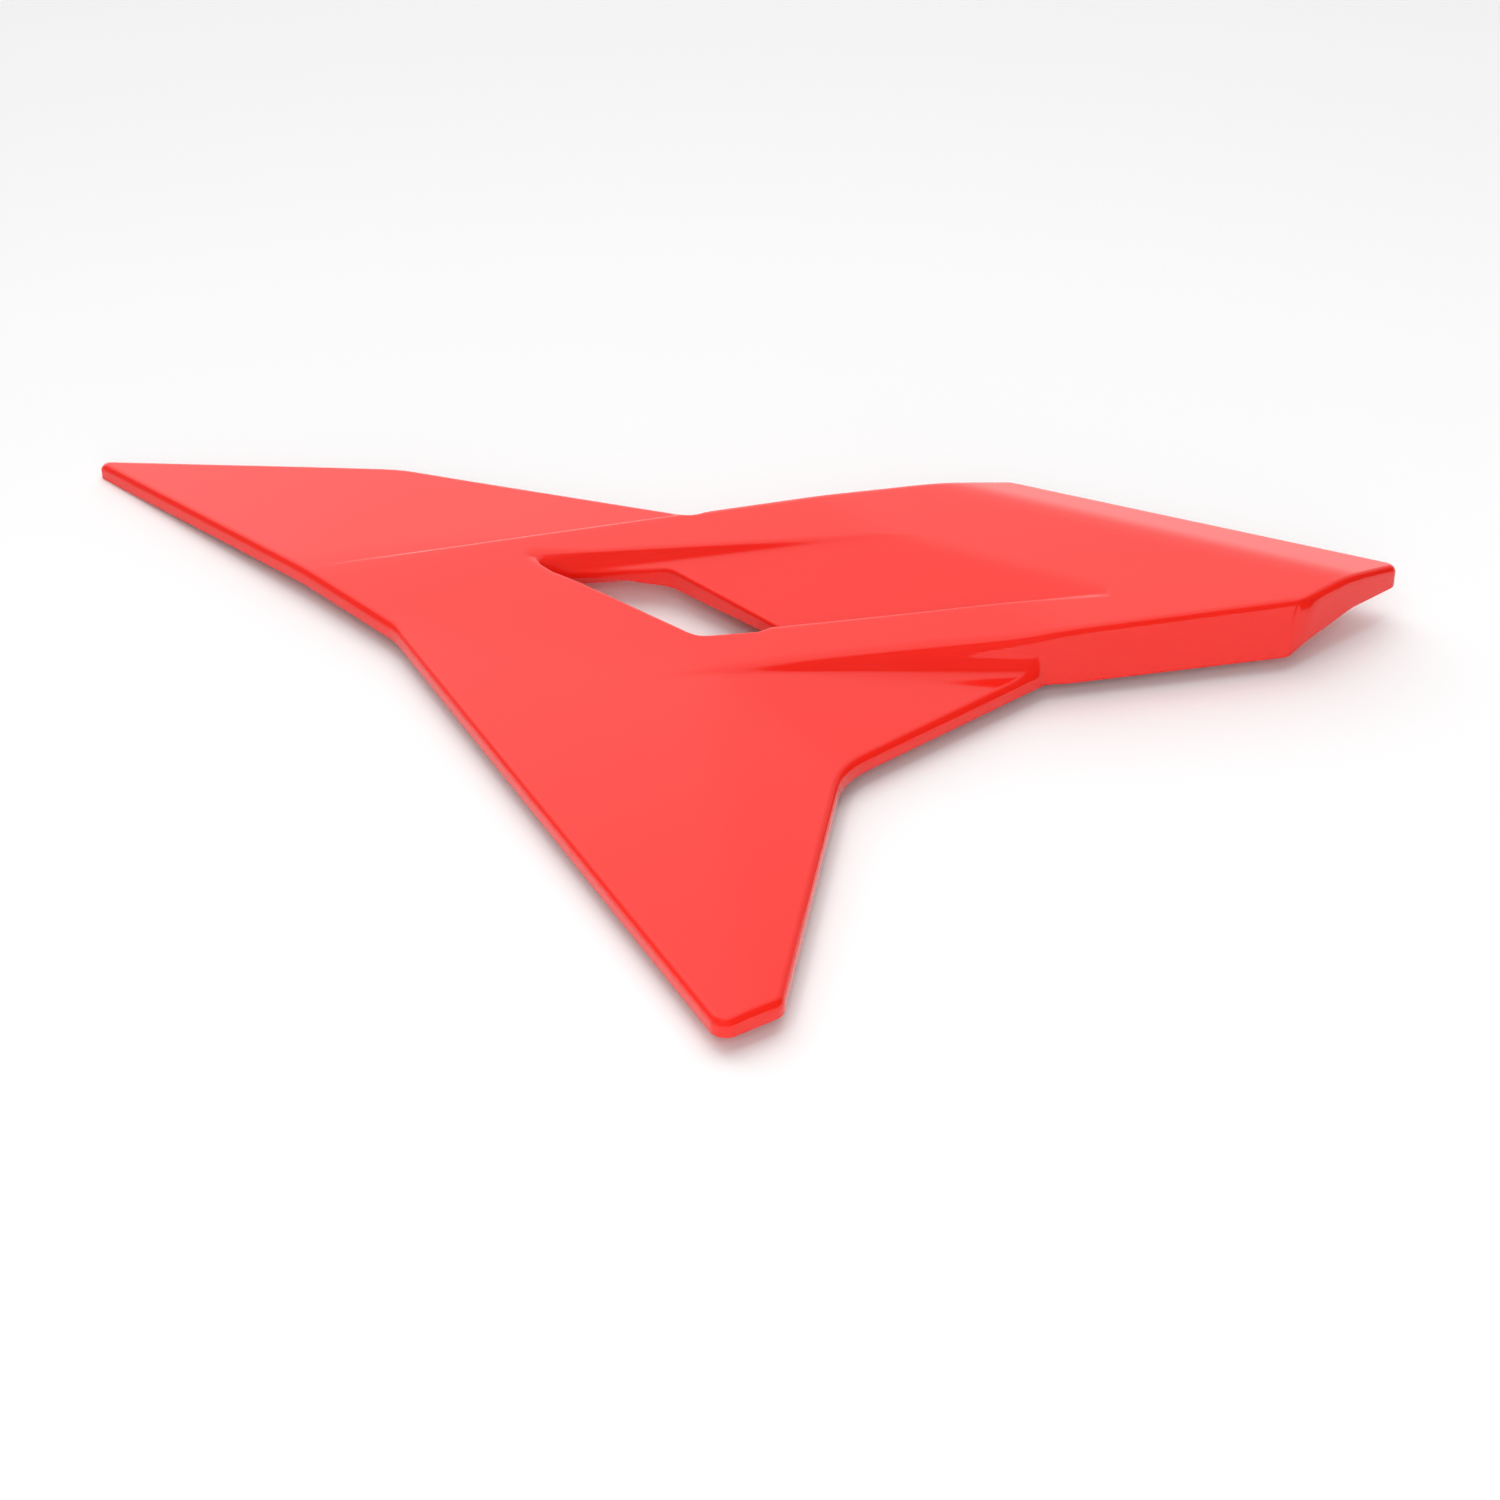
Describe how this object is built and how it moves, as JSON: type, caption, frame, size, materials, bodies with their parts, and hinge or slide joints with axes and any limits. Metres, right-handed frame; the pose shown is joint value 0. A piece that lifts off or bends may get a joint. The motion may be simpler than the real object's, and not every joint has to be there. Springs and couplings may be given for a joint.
{
  "type": "motorcycle side fairing panel",
  "caption": "Glossy side fairing panel with front and lower wings, a steep rear flank, a sunk scoop with an open vent, and hidden fixings behind it.",
  "frame": {"origin": "under the middle of the bounding box, level with the lowest point of the front wing tip", "axes": "+X along the panel towards its rear end, +Y towards the tank edge, +Z out of the painted face"},
  "size_m": [0.5123, 0.3689, 0.029],
  "materials": {
    "painted_skin": "high gloss red, moulded and lacquered",
    "brass": "turned brass, knurled",
    "rubber": "matt black moulded rubber",
    "zinc_steel": "zinc plated steel",
    "spring_steel": "dark phosphated spring steel",
    "foam": "closed-cell foam, matt",
    "felt": "dense felt, matt"
  },
  "bodies": {
    "root": {"outer_panel": "painted_skin", "threaded_inserts": "brass", "tab_grommets": "rubber", "grommet_collars": "zinc_steel", "clip_nuts": "spring_steel", "edge_foam": "foam", "vent_gasket": "foam", "rattle_pads": "felt"}
  },
  "joints": []
}
